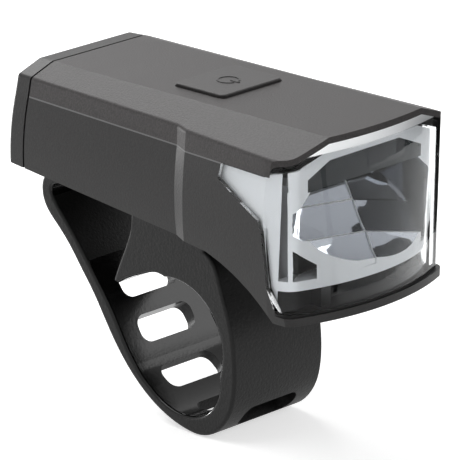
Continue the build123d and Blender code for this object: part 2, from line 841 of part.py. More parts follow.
# Switch plunger: goes down with the button
with BuildPart() as switch_plunger:
    with BuildSketch(Plane.XY.offset(switch_top - plunger_foot)):
        with Locations((0, button_middle)):
            Circle(plunger_radius)
    extrude(amount=post_bottom - plunger_fit - switch_top + plunger_foot)
switch_plunger.part.label = "switch_plunger"
export_step(switch_plunger.part, "parts/switch_plunger.step")

# Power button: raised plate with a flange under the cover, a central post and a raised symbol
with BuildPart() as power_button:
    with BuildSketch(Plane.XY.offset(flange_bottom)):
        with Locations((0, button_middle)):
            RectangleRounded(button_width, button_length, button_round)
    extrude(amount=button_top - flange_bottom)
    fillet(power_button.faces().sort_by(Axis.Z)[-1].edges(), button_edge_round)
    with BuildSketch(Plane.XY.offset(flange_bottom)):
        with Locations((0, button_middle)):
            RectangleRounded(button_width + button_flange * 2, button_length + button_flange * 2,
                             button_round + button_flange)
    extrude(amount=flange_thickness)
    with BuildSketch(Plane.XY.offset(flange_bottom)):
        with Locations((0, button_middle)):
            RectangleRounded(button_width - button_wall * 2, button_length - button_wall * 2, button_round)
    extrude(amount=button_pocket, mode=Mode.SUBTRACT)
    with BuildSketch(Plane.XY.offset(post_bottom)):
        with Locations((0, button_middle)):
            Circle(post_radius)
    extrude(amount=button_top - post_bottom - button_edge_round)
    with BuildSketch(Plane.XY.offset(button_top)):
        with Locations((0, button_middle)):
            Circle(symbol_radius)
            Circle(symbol_radius - symbol_line, mode=Mode.SUBTRACT)
        with Locations((0, button_middle - symbol_radius)):
            Rectangle(symbol_line * 4, symbol_radius, mode=Mode.SUBTRACT)
        with Locations((0, button_middle - symbol_radius * 3 / 4)):
            Rectangle(symbol_line, symbol_radius)
    extrude(amount=symbol_raise)
power_button.part.label = "power_button"
export_step(power_button.part, "parts/power_button.step")

# Button seal: a rubber tray under the cover, round the button's flange
tray_reach = button_flange + flange_clearance
tray_bottom = switch_top + plunger_foot
with BuildPart() as button_seal:
    with BuildSketch(Plane.XY.offset(tray_bottom)):
        with Locations((0, button_middle)):
            RectangleRounded(button_width + (tray_reach + seal_thickness) * 2,
                             button_length + (tray_reach + seal_thickness) * 2, button_round + tray_reach)
    extrude(amount=top_height - wall - tray_bottom)
    with BuildSketch(Plane.XY.offset(tray_bottom + seal_thickness)):
        with Locations((0, button_middle)):
            RectangleRounded(button_width + tray_reach * 2, button_length + tray_reach * 2,
                             button_round + button_flange)
    extrude(amount=top_height - wall - tray_bottom - seal_thickness, mode=Mode.SUBTRACT)
    with BuildSketch(Plane.XY.offset(tray_bottom)):
        with Locations((0, button_middle)):
            Circle(seal_hole_radius)
    extrude(amount=seal_thickness, mode=Mode.SUBTRACT)
button_seal.part.label = "button_seal"
export_step(button_seal.part, "parts/button_seal.step")


def chamber_plan(grow):
    """Plan of the mirror chamber, flaring towards the front."""
    rows = [(chamber_back_half + grow, -chamber_back), (chamber_knee_half + grow, -chamber_knee),
            (chamber_front_half + grow, -chamber_front)]
    return rows + [(-x, y) for x, y in reversed(rows)]


# Mirror profile from the lamp down to the shelf: the ends of three hollow facets, as (y, z) shares of
# the chamber's depth and height. Each half of the mirror is this profile drawn out sideways.
facet_shares = [((0.147, 1.0), (0.6, 0.65)), ((0.655, 0.64), (1.05, 0.332)), ((1.105, 0.325), (1.42, 0.06))]
mirror_foot_shares = (1.42, -0.4)
chamber_height = chamber_top - shelf_top
chamber_depth = chamber_front - chamber_back


def mirror_place(share, shift):
    """A point of the mirror's profile, moved forward by an amount."""
    return (-chamber_back - share[0] * chamber_depth - shift, shelf_top + share[1] * chamber_height)


def mirror_profile(shift):
    """Closed section of one half of the mirror."""
    with BuildSketch(Plane.YZ) as section:
        with BuildLine():
            last = None
            for (top, low), sag in zip(facet_shares, mirror_sags):
                start, end = mirror_place(top, shift), mirror_place(low, shift)
                run = math.dist(start, end)
                hollow = ((start[0] + end[0]) / 2 + sag * (start[1] - end[1]) / run,
                          (start[1] + end[1]) / 2 - sag * (start[0] - end[0]) / run)
                if last:
                    Line(last, start)
                ThreePointArc(start, hollow, end)
                last = end
            foot = mirror_place(mirror_foot_shares, shift)
            top = mirror_place(facet_shares[0][0], shift)
            rear = [(foot[0] + mirror_wall * 2, foot[1]), (last[0] + mirror_wall * 2, last[1]),
                    (top[0] + mirror_wall * 2, top[1])]
            Polyline(last, foot, *rear, top)
        make_face()
    return section.sketch


left_slant = (-1, 0, 0.12)
right_slant = (1, -0.01, -0.25)
optic_places = [(-optic_screw_x, -optic_screw_y), (optic_screw_x, -optic_screw_y)]
sink_bottom = led_board_bottom + led_board_thickness
shade_top = opening_top + shade_height
shade_bottom = opening_top
shade_points = [(-shade_half_width, shade_bottom), (-shade_half_width, shade_top - shade_bevel_drop),
                (-shade_half_width + shade_bevel_width, shade_top),
                (shade_half_width - shade_bevel_width, shade_top),
                (shade_half_width, shade_top - shade_bevel_drop), (shade_half_width, shade_bottom)]
opening_points = [(-chamber_front_half, shelf_top), (-chamber_front_half, opening_top - opening_bevel),
                  (-chamber_front_half + opening_bevel, opening_top),
                  (chamber_front_half - opening_bevel, opening_top),
                  (chamber_front_half, opening_top - opening_bevel), (chamber_front_half, shelf_top)]
frame_plane = Plane(origin=(0, -frame_back, 0), x_dir=(1, 0, 0), z_dir=(0, -1, 0))

with BuildPart() as mirror_halves:
    for slant, shift in ((left_slant, 0), (right_slant, mirror_step)):
        extrude(mirror_profile(shift), amount=chamber_front_half + mirror_wall * 2, dir=slant)
    # The left half runs on to the flared side wall, the right half ends in line with the knee.
    mirror_right = chamber_knee_half + mirror_wall / 4
    mirror_front_y = -chamber_front - chamber_depth - mirror_wall
    with BuildSketch(Plane.XY.offset(shelf_bottom)):
        with BuildLine():
            Polyline((mirror_right, -chamber_back + mirror_wall), (mirror_right, mirror_front_y),
                     (-chamber_front_half, mirror_front_y), (-chamber_front_half, -chamber_front),
                     (-chamber_knee_half - mirror_wall / 4, -chamber_knee),
                     (-chamber_back_half - mirror_wall / 4, -chamber_back + mirror_wall), close=True)
        make_face()
    extrude(amount=chamber_top - shelf_bottom, mode=Mode.INTERSECT)

# Liners beside the mirror: the bright skirts that show through the lens's side wings
liner_top = top_height - liner_top_drop
liner_foot = lens_foot + shelf_gap
with BuildPart() as side_liners:
    add(unit_blank)
    with BuildSketch(Plane.XY):
        Rectangle(liner_inside * 2, (nose_reach + back_overhang) * 2)
    extrude(amount=top_height, mode=Mode.SUBTRACT)
    liner_zone = side_prism([(wing_back + liner_margin, liner_top)]
                            + [(y + liner_margin, z) for y, z in wing_points[1:]]
                            + [(strip_end_y + liner_margin, shelf_bottom),
                               (lens_heel[0] + liner_margin, liner_foot),
                               (-frame_back - frame_plate, liner_foot),
                               (-frame_back - frame_plate, liner_top)])
    add(liner_zone, mode=Mode.INTERSECT)

# Reflector: one metallised moulding of mirror facets, side walls, front frame and lower shelf
with BuildPart() as reflector:
    with BuildSketch(Plane.XY.offset(shelf_bottom)):
        with BuildLine():
            Polyline(*chamber_plan(mirror_wall), close=True)
        make_face()
        with BuildLine():
            Polyline(*chamber_plan(0), close=True)
        make_face(mode=Mode.SUBTRACT)
        with Locations((0, -chamber_back + mirror_wall / 2)):
            Rectangle(chamber_front_half * 2, mirror_wall * 2, mode=Mode.SUBTRACT)
    extrude(amount=chamber_top - shelf_bottom)
    with BuildSketch(Plane.XY.offset(sink_bottom - optic_boss_height)):
        with Locations(*optic_places):
            Circle(optic_boss_radius)
    extrude(amount=optic_boss_height)
    with BuildSketch(frame_plane):
        with Locations((0, top_height / 2)):
            Rectangle(half_span * 2, top_height)
        with BuildLine():
            Polyline(*opening_points, close=True)
        make_face(mode=Mode.SUBTRACT)
        with BuildLine():
            Polyline(*shade_points, close=True)
        make_face(mode=Mode.SUBTRACT)
    extrude(amount=frame_plate)
    with BuildSketch(Plane.XY.offset(shelf_bottom)):
        with Locations((0, -chamber_knee - nose_side_run)):
            Rectangle(half_span * 2, nose_side_run * 2)
    extrude(amount=shelf_thickness)
    add(mirror_halves.part)
    add(unit_blank, mode=Mode.INTERSECT)
    low_zone = side_prism([(0, shelf_bottom), (0, chin_height - overrun), (front_end, chin_height - overrun),
                           (front_end, shelf_bottom)])
    add(low_zone, mode=Mode.SUBTRACT)
    add(side_liners.part)
    with BuildSketch(Plane.XY.offset(sink_bottom)):
        with Locations(*optic_places):
            Circle(optic_screw_radius)
    extrude(amount=-optic_boss_height, mode=Mode.SUBTRACT)
reflector.part.label = "reflector"
export_step(reflector.part, "parts/reflector.step")

# Lamp shade: the dark strip that hides the lamp above the mirror
with BuildPart() as led_shade:
    with BuildSketch(frame_plane):
        with BuildLine():
            Polyline(*shade_points, close=True)
        make_face()
    extrude(amount=shade_thickness)
led_shade.part.label = "led_shade"
export_step(led_shade.part, "parts/led_shade.step")

# Lamp board under the heat sink
with BuildPart() as led_board:
    with BuildSketch(Plane.XY.offset(led_board_bottom)):
        with Locations((0, -led_board_back - led_board_length / 2)):
            Rectangle(led_board_half_width * 2, led_board_length)
    extrude(amount=led_board_thickness)
led_board.part.label = "led_board"
export_step(led_board.part, "parts/led_board.step")

# Lamp: the light-emitting chip with its dome, facing down at the mirror
with BuildPart() as led_emitter:
    with BuildSketch(Plane.XY.offset(led_board_bottom)):
        with Locations((0, -led_forward)):
            Rectangle(led_side, led_side)
    extrude(amount=-led_height)
    with Locations((0, -led_forward, led_board_bottom - led_height)):
        Sphere(led_dome_radius)
    with BuildSketch(Plane.XY.offset(led_board_bottom)):
        with Locations((0, -led_forward)):
            Rectangle(led_side * 2, led_side * 2)
    extrude(amount=led_side, mode=Mode.SUBTRACT)
led_emitter.part.label = "led_emitter"
export_step(led_emitter.part, "parts/led_emitter.step")

# Heat sink: plate with upright fins above the lamp board
with BuildPart() as heat_sink:
    with BuildSketch(Plane.XY.offset(sink_bottom)):
        with Locations((0, -sink_back - sink_length / 2)):
            Rectangle(sink_half_width * 2, sink_length)
        with Locations(*optic_places):
            Circle(optic_screw_radius, mode=Mode.SUBTRACT)
    extrude(amount=sink_base)
    with BuildSketch(Plane.XY.offset(sink_bottom)):
        with Locations((0, -sink_back - sink_length / 2)):
            with GridLocations(fin_spread / (fin_count - 1), 0, fin_count, 1):
                Rectangle(fin_thickness, sink_length)
    extrude(amount=sink_base + fin_height)
heat_sink.part.label = "heat_sink"
export_step(heat_sink.part, "parts/heat_sink.step")

# Optic screws: two, from the heat sink down into the reflector
with BuildPart() as optic_screws:
    for x, y in optic_places:
        seat = Plane(origin=(x, y, sink_bottom + sink_base), x_dir=(1, 0, 0), z_dir=(0, 0, -1))
        add(screw(seat, optic_screw_radius, optic_screw_length, optic_screw_head_radius, optic_screw_head))
optic_screws.part.label = "optic_screws"
export_step(optic_screws.part, "parts/optic_screws.step")

# Case screws: four, up through the housing into the cover
with BuildPart() as case_screws:
    for x, y in boss_places:
        seat = Plane(origin=(x, y, screw_seat), x_dir=(1, 0, 0), z_dir=(0, 0, 1))
        add(screw(seat, case_screw_radius, case_screw_length, case_screw_head_radius, case_screw_head))
case_screws.part.label = "case_screws"
export_step(case_screws.part, "parts/case_screws.step")

# Cap screws: two, from the rear
with BuildPart() as cap_screws:
    for x in (-cap_screw_x, cap_screw_x):
        seat = Plane(origin=(x, cap_seat_y, cap_screw_height), x_dir=(1, 0, 0), z_dir=(0, -1, 0))
        add(screw(seat, cap_screw_radius, cap_screw_length, cap_screw_head_radius, cap_screw_head))
cap_screws.part.label = "cap_screws"
export_step(cap_screws.part, "parts/cap_screws.step")

# Mount plate under the case, with the key that the strap's saddle is moulded round and the hook
plate_middle = (plate_back + plate_front) / 2


def key_section(depth, grow):
    """Section of the plate's key at a depth below the case."""
    with BuildSketch(under_plane.offset(-depth)) as section:
        with Locations((0, key_place)):
            Rectangle(key_width + grow * 2, key_length + grow * 2)
    return section.sketch


plate_key = loft([key_section(plate_thickness, 0), key_section(plate_thickness + key_depth, key_flare)])
with BuildPart() as mount_plate:
    with BuildSketch(under_plane):
        with Locations((0, plate_middle)):
            RectangleRounded(plate_half_width * 2, plate_back - plate_front, plate_round)
    extrude(amount=-plate_thickness)
    fillet(mount_plate.faces().sort_by(Axis.Z)[0].edges(), plate_edge_round)
    add(plate_key)
    with BuildSketch(under_plane.offset(-plate_thickness / 2)):
        with Locations((0, hook_place)):
            Rectangle(hook_width, hook_thickness)
    extrude(amount=-plate_thickness / 2 - tab_thickness - fit_gap - hook_lip_thickness)
    with BuildSketch(under_plane.offset(-plate_thickness - tab_thickness - fit_gap)):
        with Locations((0, hook_place - hook_lip / 2)):
            Rectangle(hook_width, hook_thickness + hook_lip)
    extrude(amount=-hook_lip_thickness)
    with BuildSketch(under_plane):
        with Locations(*plate_screw_places):
            Circle(plate_screw_radius)
    extrude(amount=-plate_thickness, mode=Mode.SUBTRACT)
    with BuildSketch(under_plane.offset(-plate_thickness)):
        with Locations(*plate_screw_places):
            Circle(plate_screw_head_radius + fit_gap)
    extrude(amount=plate_screw_head, mode=Mode.SUBTRACT)
mount_plate.part.label = "mount_plate"
export_step(mount_plate.part, "parts/mount_plate.step")

# Plate screws: four, up into the housing
with BuildPart() as plate_screws:
    for x, y in plate_screw_places:
        seat = Plane(origin=under_plane.from_local_coords((x, y, plate_screw_head - plate_thickness)),
                     x_dir=(1, 0, 0), z_dir=under_plane.z_dir)
        add(screw(seat, plate_screw_radius, plate_screw_length - plate_screw_head, plate_screw_head_radius,
                  plate_screw_head))
plate_screws.part.label = "plate_screws"
export_step(plate_screws.part, "parts/plate_screws.step")

# Strap: one rubber moulding of saddle, ring, rear wall and hooked tab. Its outline is drawn from the
# side in shares of the bar's radius, and follows the bar itself wherever it touches it.


def ring(*points):
    """Points given as shares of the ring's radius."""
    return [(y * ring_radius, z * ring_radius) for y, z in points]


def on_bar(*angles):
    """Points on the bar at the given angles in degrees."""
    return [(ring_radius * math.cos(math.radians(a)), ring_radius * math.sin(math.radians(a))) for a in angles]


def plate_bottom(y):
    """Height of the mount plate's lower face."""
    return underside(y) - plate_thickness / math.cos(tilt)


outer_shares = [(-0.644, 1.581), (-0.863, 1.388), (-0.988, 1.056), (-1.109, 0.722), (-1.206, 0.381),
                (-1.256, 0.013), (-1.269, -0.25), (-1.25, -0.531), (-1.169, -0.85), (-1.044, -1.063),
                (-0.844, -1.256), (-0.5625, -1.369), (-0.206, -1.35), (0.325, -1.1625), (0.8125, -0.825),
                (1.225, -0.375), (1.481, 0), (1.7375, 0.394), (1.9875, 0.719), (2.225, 1.025), (2.519, 1.325),
                (2.744, 1.575), (2.8125, 1.831), (2.744, 2.056)]
rear_inner_shares = [(2.581, 1.894), (2.281, 1.406), (1.7875, 0.806), (1.281, 0.119), (1.04, -0.28)]
belly_shares = [(0.056, -1.094), (-0.431, -1.1), (-0.769, -0.9), (-0.9125, -0.656)]
saddle_shares = [(0.3625, 1.006), (0.669, 0.919), (0.975, 0.7875), (1.181, 0.6625)]
heel_shares = [(1.269, 0.681), (1.144, 0.994), (0.9875, 1.35), (0.9, 1.606)]
saddle_front_share = -0.656
saddle_back_share = 0.869
tab_back_share = 2.375
tab_end_share = 2.581
slot_shares = [(1.556, 0.406, 0.838, -0.546), (1.15, -0.225, 0.76, -0.65), (0.556, -0.8125, 0.57, -0.82),
               (-0.219, -1.1875, 0.1, -1.0), (-1.031, -1.094, -0.72, -0.69)]
with BuildPart() as strap:
    with BuildSketch(Plane.YZ):
        with BuildLine():
            start = (saddle_front_share * ring_radius, plate_bottom(saddle_front_share * ring_radius))
            outer = ring(*outer_shares)
            Line(start, outer[0])
            Spline(*outer)
            tab_end = (tab_end_share * ring_radius, plate_bottom(tab_end_share * ring_radius))
            tab_top = (tab_front, plate_bottom(tab_front))
            tab_low = (tab_front, plate_bottom(tab_front) - tab_thickness)
            tab_back = (tab_back_share * ring_radius, plate_bottom(tab_back_share * ring_radius) - tab_thickness)
            Polyline(outer[-1], tab_end, tab_top, tab_low, tab_back)
            grip = on_bar(-35, -47, -60)
            Spline(tab_back, *ring(*rear_inner_shares), grip[0])
            ThreePointArc(grip[0], grip[1], grip[2])
            over = on_bar(200, 140, 78)
            Spline(grip[2], *ring(*belly_shares), over[0])
            ThreePointArc(over[0], over[1], over[2])
            heel = ring(*heel_shares)
            Spline(over[2], *ring(*saddle_shares))
            Line(ring(saddle_shares[-1])[0], heel[0])
            Spline(*heel)
            saddle_back = (saddle_back_share * ring_radius, plate_bottom(saddle_back_share * ring_radius))
            Polyline(heel[-1], saddle_back, start)
        make_face()
    extrude(amount=strap_half_width, both=True)
    for y, z, face_y, face_z in slot_shares:
        slot_plane = Plane(origin=(0, y * ring_radius, z * ring_radius), x_dir=(1, 0, 0), z_dir=(0, face_y, face_z))
        with BuildSketch(slot_plane):
            RectangleRounded(slot_length, slot_width, slot_round)
        extrude(amount=strap_thickness, both=True, mode=Mode.SUBTRACT)
    add(plate_key, mode=Mode.SUBTRACT)
    with BuildSketch(under_plane.offset(-plate_thickness)):
        with Locations((0, hook_place)):
            Rectangle(hook_width + fit_gap * 2, hook_thickness + fit_gap * 2)
    extrude(amount=-tab_thickness - fit_gap, mode=Mode.SUBTRACT)
    fillet(strap.faces().group_by(Axis.X)[0].edges() + strap.faces().group_by(Axis.X)[-1].edges(),
           strap_edge_round)
strap.part.label = "strap"
export_step(strap.part, "parts/strap.step")
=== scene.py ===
import math

import bmesh
import bpy
from mathutils import Matrix, Vector


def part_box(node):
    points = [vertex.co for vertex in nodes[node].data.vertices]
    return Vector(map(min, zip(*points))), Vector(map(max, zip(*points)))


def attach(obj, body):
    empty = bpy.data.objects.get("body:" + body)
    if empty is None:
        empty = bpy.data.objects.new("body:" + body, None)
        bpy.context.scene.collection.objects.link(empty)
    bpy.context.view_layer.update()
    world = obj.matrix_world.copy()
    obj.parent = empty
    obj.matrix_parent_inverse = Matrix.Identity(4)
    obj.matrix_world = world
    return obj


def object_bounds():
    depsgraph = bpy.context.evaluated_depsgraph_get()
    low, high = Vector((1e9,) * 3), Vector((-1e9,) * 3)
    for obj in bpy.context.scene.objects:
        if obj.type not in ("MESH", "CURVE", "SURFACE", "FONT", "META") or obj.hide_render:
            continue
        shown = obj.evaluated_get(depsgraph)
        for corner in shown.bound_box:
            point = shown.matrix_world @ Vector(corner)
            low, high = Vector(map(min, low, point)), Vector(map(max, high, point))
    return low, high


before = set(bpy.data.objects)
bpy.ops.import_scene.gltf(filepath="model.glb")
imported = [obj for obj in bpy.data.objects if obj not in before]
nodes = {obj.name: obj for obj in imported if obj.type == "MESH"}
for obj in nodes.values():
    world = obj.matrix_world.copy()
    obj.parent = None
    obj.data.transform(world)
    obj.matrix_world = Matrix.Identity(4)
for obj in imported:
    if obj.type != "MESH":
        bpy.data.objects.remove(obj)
cad_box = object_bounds()
mm = 0.001

# Lower housing: the dark shell that carries the cell, the boards and the lamp unit.
# Injection-moulded ABS with a fine spark-eroded texture, so it looks matte with a soft sheen.
cloud_size = 9 * mm
cloud_share = 0.3
pit_start, pit_end = 0.35, 0.65


def linear(hex_colour):
    """An sRGB hex colour as linear RGBA."""
    channels = [int(hex_colour[i:i + 2], 16) / 255 for i in (1, 3, 5)]
    return [c / 12.92 if c <= 0.04045 else ((c + 0.055) / 1.055) ** 2.4 for c in channels] + [1.0]


def shaded(colour, share):
    """A linear RGBA colour made darker or lighter by a share."""
    return [c * share for c in colour[:3]] + [1.0]


def add_node(tree, kind, settings=None, links=None):
    """Adds a node to a material with its settings and links."""
    node = tree.nodes.new(kind)
    for name, value in (settings or {}).items():
        if isinstance(name, int) or name in node.inputs:
            node.inputs[name].default_value = value
        else:
            setattr(node, name, value)
    for name, source in (links or {}).items():
        tree.links.new(source, node.inputs[name])
    return node


def fill(tree, node, place, value):
    """Gives an input a number or colour, or links another node's output to it."""
    if isinstance(value, bpy.types.NodeSocket):
        tree.links.new(value, node.inputs[place])
    else:
        node.inputs[place].default_value = value


def calculate(tree, operation, *operands):
    """The result of a sum on numbers and outputs of other nodes."""
    node = add_node(tree, "ShaderNodeMath", {"operation": operation})
    for place, operand in enumerate(operands):
        fill(tree, node, place, operand)
    return node.outputs[0]


def spread(tree, source, low, high, start=0.0, end=1.0):
    """Stretches a value that runs from start to end so that it runs from low to high."""
    node = add_node(tree, "ShaderNodeMapRange",
                    {"From Min": start, "From Max": end, "To Min": low, "To Max": high}, {"Value": source})
    return node.outputs["Result"]


def blend(tree, share, first, second):
    """A colour that goes from the first to the second with the share."""
    node = add_node(tree, "ShaderNodeMix", {"data_type": "RGBA"}, {0: share})
    fill(tree, node, 6, first)
    fill(tree, node, 7, second)
    return node.outputs[2]


def noise(tree, place, size, detail, roughness=0.5):
    """Cloudy noise with lumps of the given size in metres."""
    node = add_node(tree, "ShaderNodeTexNoise", {"Scale": 1 / size, "Detail": detail, "Roughness": roughness},
                    {"Vector": place})
    return node.outputs["Fac"]


def relief(tree, shader, height, depth):
    """Lets a height pattern of the given depth in metres shade the surface."""
    node = add_node(tree, "ShaderNodeBump", {"Distance": depth, "Strength": 1.0}, {"Height": height})
    tree.links.new(node.outputs["Normal"], shader.inputs["Normal"])
    return node


def start_material(name):
    """An empty node material, with its tree, its surface shader and its coordinates."""
    material = bpy.data.materials.new(name)
    material.use_nodes = True
    tree = material.node_tree
    shader = tree.nodes["Principled BSDF"]
    place = add_node(tree, "ShaderNodeTexCoord").outputs["Object"]
    return material, tree, shader, place


def moulded(name, colour, grain, depth, roughness, sheen_patch=0.06, specular=0.5, speckle=0.07):
    """Plastic or rubber from a textured mould: grain and depth in millimetres, speckle as a share."""
    material, tree, shader, place = start_material(name)
    texture = noise(tree, place, grain * mm, detail=3.0, roughness=0.55)
    relief(tree, shader, texture, depth * mm)
    cloud = noise(tree, place, cloud_size, detail=2.0)
    pits = spread(tree, texture, 0.0, 1.0, pit_start, pit_end)
    patches = calculate(tree, "MULTIPLY_ADD", cloud, cloud_share, pits)
    share = spread(tree, patches, 0.0, 1.0, end=1 + cloud_share)
    base = linear(colour)
    tone = blend(tree, share, shaded(base, 1 - speckle), shaded(base, 1 + speckle))
    gloss = spread(tree, texture, roughness - sheen_patch, roughness + sheen_patch)
    shader.inputs["IOR"].default_value = 1.5
    shader.inputs["Specular IOR Level"].default_value = specular
    tree.links.new(tone, shader.inputs["Base Color"])
    tree.links.new(gloss, shader.inputs["Roughness"])
    return material


def finish_node(node, material):
    """Puts a material on a CAD node."""
    mesh = nodes[node].data
    mesh.materials.clear()
    mesh.materials.append(material)


housing_abs = moulded("ABS, spark-eroded texture, near black", "#201f1f", grain=0.5, depth=0.05,
                      roughness=0.4, specular=0.32, speckle=0.3)
finish_node("lower_housing", housing_abs)

# Case gasket: a grey silicone cord in the seam between housing and cover.
# Die-cut and squeezed by the case screws; its thin edge shows as a light line, coloured light grey as a
# painted highlight along the seam.
seam_silicone_painted_highlight = moulded("silicone, die-cut, grey", "#676767", grain=0.8, depth=0.01, roughness=0.6)
finish_node("case_gasket", seam_silicone_painted_highlight)

# Battery cell in its heat-shrunk sleeve, with its raised contact.
# The PVC sleeve is smooth and glossy, with faint shrink ripples.
sleeve_pvc = moulded("PVC shrink sleeve, blue", "#2c4f8c", grain=2.5, depth=0.03, roughness=0.25)
finish_node("battery_cell", sleeve_pvc)

# Foam pads at the ends of the cell.
# Closed-cell polyethylene foam, cut from sheet, so its surface is pitted.
pad_foam = moulded("PE foam, cut", "#2b2b2b", grain=0.7, depth=0.12, roughness=0.85)
finish_node("battery_foam", pad_foam)

# Nickel strips welded to both ends of the cell.
# Rolled nickel-plated steel: bright, with fine lines along the rolling direction.
line_stretch = 0.05
line_depth = 0.01 * mm


def start_metal(name, colour):
    """A metal material of one colour."""
    material, tree, shader, place = start_material(name)
    shader.inputs["Base Color"].default_value = linear(colour)
    shader.inputs["Metallic"].default_value = 1.0
    return material, tree, shader, place


def rolled_metal(name, colour, line, roughness, sheen_patch=0.08):
    """Rolled or brushed metal with lines of the given width in millimetres along Z."""
    material, tree, shader, place = start_metal(name, colour)
    stretch = add_node(tree, "ShaderNodeMapping", {"Scale": (1.0, 1.0, line_stretch)}, {"Vector": place})
    lines = noise(tree, stretch.outputs["Vector"], line * mm, detail=2.0)
    relief(tree, shader, lines, line_depth)
    gloss = spread(tree, lines, roughness - sheen_patch, roughness + sheen_patch)
    tree.links.new(gloss, shader.inputs["Roughness"])
    return material


strip_nickel = rolled_metal("nickel strip, rolled", "#c8c4b8", line=0.3, roughness=0.3)
finish_node("battery_leads", strip_nickel)

# Charging board and main board.
# FR-4 laminate under green solder mask, with the copper tracks showing through as paler lines.
track_pitch = 2 * mm
track_depth = 0.03 * mm
field_shade = 0.9


def laminate(name, colour, track_colour, roughness):
    """Circuit board with tracks in the solder mask."""
    material, tree, shader, place = start_material(name)
    cells = add_node(tree, "ShaderNodeTexBrick",
                     {"Scale": 1 / track_pitch, "Mortar Size": 0.06, "Brick Width": 2.4, "Row Height": 0.9,
                      "Color1": linear(colour), "Color2": shaded(linear(colour), field_shade),
                      "Mortar": linear(track_colour)}, {"Vector": place})
    relief(tree, shader, cells.outputs["Fac"], track_depth)
    shader.inputs["Roughness"].default_value = roughness
    tree.links.new(cells.outputs["Color"], shader.inputs["Base Color"])
    return material


board_fr4 = laminate("FR-4 laminate, green solder mask", "#1c5a34", "#3b8a58", roughness=0.35)
finish_node("charge_board", board_fr4)
finish_node("main_board", board_fr4)

# Charging socket: a drawn steel shell with a black contact tongue.
# The shell is tin plated and fairly bright, the tongue is LCP plastic.
socket_tin = rolled_metal("steel shell, tin plated", "#c4c5c7", line=0.25, roughness=0.28)
finish_node("usb_socket", socket_tin)
tongue_lcp = moulded("LCP, moulded, black", "#1b1b1b", grain=0.6, depth=0.01, roughness=0.4)
finish_node("usb_tongue", tongue_lcp)

# Chips, coil and tact switch on the main board, and the switch's plunger.
# Moulded epoxy bodies, dull black; the plunger is the same LCP as the tongue.
chip_epoxy = moulded("moulding epoxy, black", "#232323", grain=0.4, depth=0.01, roughness=0.55)
for chip_node in ("controller_chip", "charge_coil", "tact_switch"):
    finish_node(chip_node, chip_epoxy)
finish_node("switch_plunger", tongue_lcp)

# Indicator diode and lamp chip.
# Clear resin over yellow phosphor, smooth and glossy.
diode_resin = moulded("phosphor resin, cast", "#e6cf62", grain=0.5, depth=0.005, roughness=0.2)
finish_node("indicator_led", diode_resin)
finish_node("led_emitter", diode_resin)

# Rear gasket, lens gasket and button seal.
# Black silicone, die-cut, matte; they show as dark grooves round the case.
gasket_silicone = moulded("silicone, die-cut, black", "#151515", grain=0.6, depth=0.015, roughness=0.7)
for gasket_node in ("rear_gasket", "lens_gasket", "button_seal"):
    finish_node(gasket_node, gasket_silicone)

# Rear cap: the same textured ABS as the housing, held by two screws.
# It also carries the charging port with its flap.
finish_node("rear_cap", housing_abs)

# Screws: zinc-plated steel with a hexagonal socket.
# The plating is grey and slightly mottled.
mottle_size = 0.8 * mm


def plated_steel(name, colour, roughness, sheen_patch=0.1):
    """Metal with a mottled surface."""
    material, tree, shader, place = start_metal(name, colour)
    mottle = noise(tree, place, mottle_size, detail=3.0)
    gloss = spread(tree, mottle, roughness - sheen_patch, roughness + sheen_patch)
    tree.links.new(gloss, shader.inputs["Roughness"])
    return material


screw_zinc = plated_steel("steel, zinc plated", "#8d8f93", roughness=0.35)
for screw_node in ("case_screws", "cap_screws", "board_screws", "optic_screws", "plate_screws"):
    finish_node(screw_node, screw_zinc)

# Charging flap with its root: one soft moulding in the real lamp, folding along its lower edge.
# Matte silicone rubber, a little darker than the case.
flap_silicone = moulded("silicone rubber, moulded, black", "#202020", grain=0.5, depth=0.03, roughness=0.65,
                        specular=0.3)
finish_node("usb_flap", flap_silicone)
finish_node("flap_anchor", flap_silicone)

# Lamp board and heat sink above the mirror.
# The board is aluminium under white solder mask, the sink is plain die-cast aluminium.
mask_white = moulded("solder mask, white, on aluminium", "#dcdcd6", grain=0.6, depth=0.005, roughness=0.35)
finish_node("led_board", mask_white)
sink_cast = plated_steel("aluminium, die-cast", "#a9abad", roughness=0.45)
finish_node("heat_sink", sink_cast)

# Reflector: the moulded unit with its mirror facets, side walls, frame and side liners.
# Polycarbonate under vacuum-deposited aluminium. The facets are clear mirrors. The inward walls beside them
# get a dark grey base colour, painted shade; the frame, the ridges between facets, the liners and the outward
# faces get a white diffuse one, painted highlight.
wave_size = 6 * mm
wave_depth = 0.05 * mm
frame_y = -46.8 * mm
frame_low, frame_full = 20 * mm, 26 * mm
liner_x = 23.7 * mm
column_reach = 1 * mm
facing_ahead = -0.85
facing_up = 0.9
facing_left = -0.99
upright_slack = 0.02
outward_lean, inward_lean = 4 * mm, -7 * mm
# Metallic and roughness of the faces that carry the white painted highlight.
painted_highlight_metallic = 0.1
painted_highlight_roughness = 0.35


